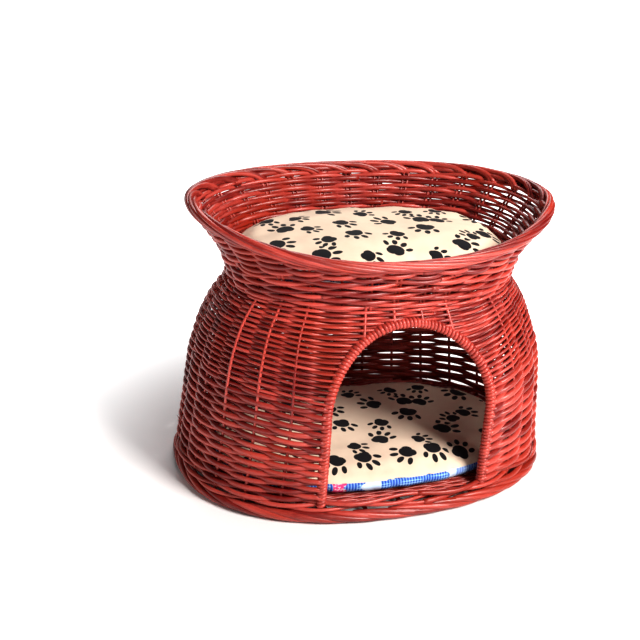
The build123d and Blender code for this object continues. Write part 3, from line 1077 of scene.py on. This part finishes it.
# %% Cushion shapes
CUSHION_VOXEL = 5 * MM
CLOTH_LIMIT = 3 * MM  # the simulation may move no point further
CLOTH_FRAMES, CLOTH_PRESSURE = 20, 4.0
CLOTH_STRETCH, CLOTH_BEND, CLOTH_MASS = 12.0, 0.4, 0.3
RUFFLE_MM, RIPPLE_MM, SOFT_MM = 5.0, 2.5, 3.4  # waves of the edge, finer ones, and those of the face
TRAY_DOME_MM, TRAY_BACK_MM, FLOOR_LIFT_MM = 7.0, 13.0, 1.0


def apply_modifiers(piece):
    """Makes what the modifiers show the piece's own mesh."""
    graph = bpy.context.evaluated_depsgraph_get()
    mesh = bpy.data.meshes.new_from_object(piece.evaluated_get(graph))
    piece.modifiers.clear()
    piece.data = mesh


def cushion_start(name, node):
    """The closed bag before it is filled: a copy of the CAD filling, with even small faces all over."""
    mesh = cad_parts[node].data.copy()
    mesh.name = name
    piece = add_object(name, mesh)
    change = piece.modifiers.new("remesh", "REMESH")
    change.mode = "VOXEL"
    change.voxel_size = CUSHION_VOXEL
    change.use_smooth_shade = True
    apply_modifiers(piece)
    return piece


def inflate(piece):
    """Fills the bag as cloth, and lets no point move more than the limit."""
    rest = np.array([v.co for v in piece.data.vertices])
    cloth = piece.modifiers.new("cloth", "CLOTH")
    settings = cloth.settings
    settings.use_pressure = True
    settings.uniform_pressure_force = CLOTH_PRESSURE
    settings.effector_weights.gravity = 0.0
    settings.mass = CLOTH_MASS
    settings.tension_stiffness = settings.compression_stiffness = CLOTH_STRETCH
    settings.bending_stiffness = CLOTH_BEND
    cloth.collision_settings.use_collision = False
    for step in range(1, CLOTH_FRAMES + 1):
        bpy.context.scene.frame_set(step)
    apply_modifiers(piece)
    bpy.context.scene.frame_set(1)
    change = np.array([v.co for v in piece.data.vertices]) - rest
    size = np.linalg.norm(change, axis=1)
    change *= np.minimum(1.0, CLOTH_LIMIT / np.maximum(size, 1e-9))[:, None]
    piece.data.vertices.foreach_set("co", (rest + change).astype(np.float32).ravel())
    print(f"{piece.name}: cloth moved up to {size.max() / MM:.1f} mm, kept to {CLOTH_LIMIT / MM:.0f} mm")


def settle(piece, in_tray, low, high, seed):
    """Wrinkles the cloth, pulls it in at the seam and keeps it above the bottom of its space."""
    centre = ((low.x + high.x) / 2, (low.y + high.y) / 2)
    half = ((high.x - low.x) / 2, (high.y - low.y) / 2)
    for vert in piece.data.vertices:
        x, y = vert.co.x - centre[0], vert.co.y - centre[1]
        around = math.atan2(y / half[1], x / half[0])
        edge = min(1.0, math.hypot(x / half[0], y / half[1]))
        ruffle = noise.noise(Vector((math.cos(around) * 3.2, math.sin(around) * 3.2, seed)))
        ripple = noise.noise(Vector((math.cos(around) * 11, math.sin(around) * 11, seed + 5)))
        soft = noise.noise(Vector((vert.co.x * 11, vert.co.y * 11, seed)))
        soft += 0.45 * noise.noise(Vector((vert.co.x * 34, vert.co.y * 30, seed + 2)))
        near_edge = edge**5
        top = max(0.0, min(1.0, (vert.co.z - low.z) / (high.z - low.z)))
        dome = TRAY_DOME_MM * (1 - edge**3) if in_tray else FLOOR_LIFT_MM
        lift = TRAY_BACK_MM * max(0.0, math.sin(around)) * near_edge if in_tray else 0.0
        waves = (RUFFLE_MM * ruffle + RIPPLE_MM * ripple) * near_edge + SOFT_MM * soft
        vert.co.z += top * (waves + dome + lift) * MM
        pull = 1 - near_edge * (0.012 * ripple + 0.014 * max(0.0, ruffle))
        vert.co.x, vert.co.y = centre[0] + x * pull, centre[1] + y * pull
        vert.co.z = max(vert.co.z, low.z)


def split_cloth(piece, name, seam, above):
    """One of the two cloths: what lies above or below the seam."""
    mesh = piece.data.copy()
    mesh.name = name
    bm = bmesh.new()
    bm.from_mesh(mesh)
    geometry = bm.verts[:] + bm.edges[:] + bm.faces[:]
    plane = {"plane_co": (0, 0, seam), "plane_no": (0, 0, 1)}
    cut = bmesh.ops.bisect_plane(bm, geom=geometry, clear_outer=not above, clear_inner=above, **plane)
    rim = [e for e in cut["geom_cut"] if isinstance(e, bmesh.types.BMEdge)]
    cap = bmesh.ops.holes_fill(bm, edges=rim, sides=0)
    bmesh.ops.triangulate(bm, faces=cap["faces"], quad_method="BEAUTY", ngon_method="EAR_CLIP")
    bmesh.ops.recalc_face_normals(bm, faces=bm.faces)
    for face in bm.faces:
        face.smooth = True
    bm.to_mesh(mesh)
    bm.free()
    return add_object(name, mesh)


def make_cushion(body, seed):
    """Both cloths of one cushion, round its filling."""
    boxes = [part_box(f"{body}_{cloth}") for cloth in ("top_cloth", "under_cloth")]
    low = Vector([min(box[0][i] for box in boxes) for i in range(3)])
    high = Vector([max(box[1][i] for box in boxes) for i in range(3)])
    seam = boxes[0][0].z
    bag = cushion_start(body + "_bag", body + "_filling")
    inflate(bag)
    settle(bag, body == "tray_cushion", low, high, seed)
    for suffix, above, material, slot, fill in (
        ("top_cloth", True, paw_cloth, "paw_cotton", 0.45),
        ("under_cloth", False, patch_cloth, "check_cotton", 0.45),
    ):
        part = split_cloth(bag, f"{body}_{suffix}_visual", seam, above)
        smooth = part.modifiers.new("smooth", "SUBSURF")
        smooth.levels = smooth.render_levels = 1
        smooth.use_limit_surface = False
        part.data.materials.clear()
        part.data.materials.append(material)
        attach(part, body)
        nodes = [f"{body}_{suffix}"] + ([f"{body}_filling"] if above else [])
        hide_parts(*nodes)
        print(part.name, len(part.data.polygons), "faces before smoothing")
    bpy.data.objects.remove(bag)


make_cushion("floor_cushion", 3)
make_cushion("tray_cushion", 8)

# %% [markdown]
# ## Floor and light
# The studio is a pale seamless floor that glows white away from the basket, a large soft light from the front
# right and above, a weak fill from the left and a light from behind.

# %% Studio
FLOOR_HALF_SIZE = 12.0
FLOOR_GAP = 0.2 * MM
GLOW_START, GLOW_FULL = 0.22, 0.6  # distances from the basket's middle
AMBIENT = 0.03
WHITE = (1, 1, 1, 1)


def make_floor():
    """A wide floor just under the basket."""
    bm = bmesh.new()
    bmesh.ops.create_grid(bm, x_segments=1, y_segments=1, size=FLOOR_HALF_SIZE)
    mesh = bpy.data.meshes.new("studio_floor")
    bm.to_mesh(mesh)
    bm.free()
    floor = add_object("studio_floor", mesh)
    floor.location.z = cad_box[0][2] - FLOOR_GAP
    material, tree, shader = new_material("studio_paper")
    coords = object_coordinates(tree)
    away = vector_node(tree, "LENGTH", coords)
    grain = noise_node(tree, coords, 300.0)
    feed(tree, shader, {
        "Base Color": mix_colour(tree, grain, (0.9, 0.9, 0.9, 1), (0.86, 0.86, 0.86, 1)),
        "Roughness": 0.8,
        "Emission Color": WHITE,
        "Emission Strength": ramp_between(tree, away, GLOW_START, GLOW_FULL),
    })
    mesh.materials.append(material)


def add_light(name, place, size, power, colour=(1, 1, 1)):
    """A square soft light that faces the basket."""
    data = bpy.data.lights.new(name, "AREA")
    data.size = size
    data.energy = power
    data.color = colour
    light = add_object(name, data)
    light.location = place
    light.rotation_euler = (VIEW_CENTRE - Vector(place)).to_track_quat("-Z", "Y").to_euler()


def make_world():
    """White where the camera sees it, and a weak even light everywhere else."""
    world = bpy.data.worlds.new("studio")
    world.use_nodes = True
    tree = world.node_tree
    seen = new_node(tree, "LightPath").outputs["Is Camera Ray"]
    strength = math_node(tree, "MULTIPLY_ADD", seen, 1.0 - AMBIENT, AMBIENT)
    feed(tree, tree.nodes["Background"], {"Color": WHITE, "Strength": strength})
    bpy.context.scene.world = world


make_floor()
add_light("key_light", (1.05, -1.75, 1.8), 1.0, 112, (1.0, 0.97, 0.94))
add_light("fill_light", (-1.9, -1.2, 1.2), 1.6, 5)
add_light("back_light", (0.4, 1.8, 1.9), 1.4, 30)
make_world()
view = bpy.context.scene.view_settings
view.view_transform = "Standard"
view.exposure = 0.1
view.gamma = 0.82
print("lights:", [light.name for light in bpy.data.lights])
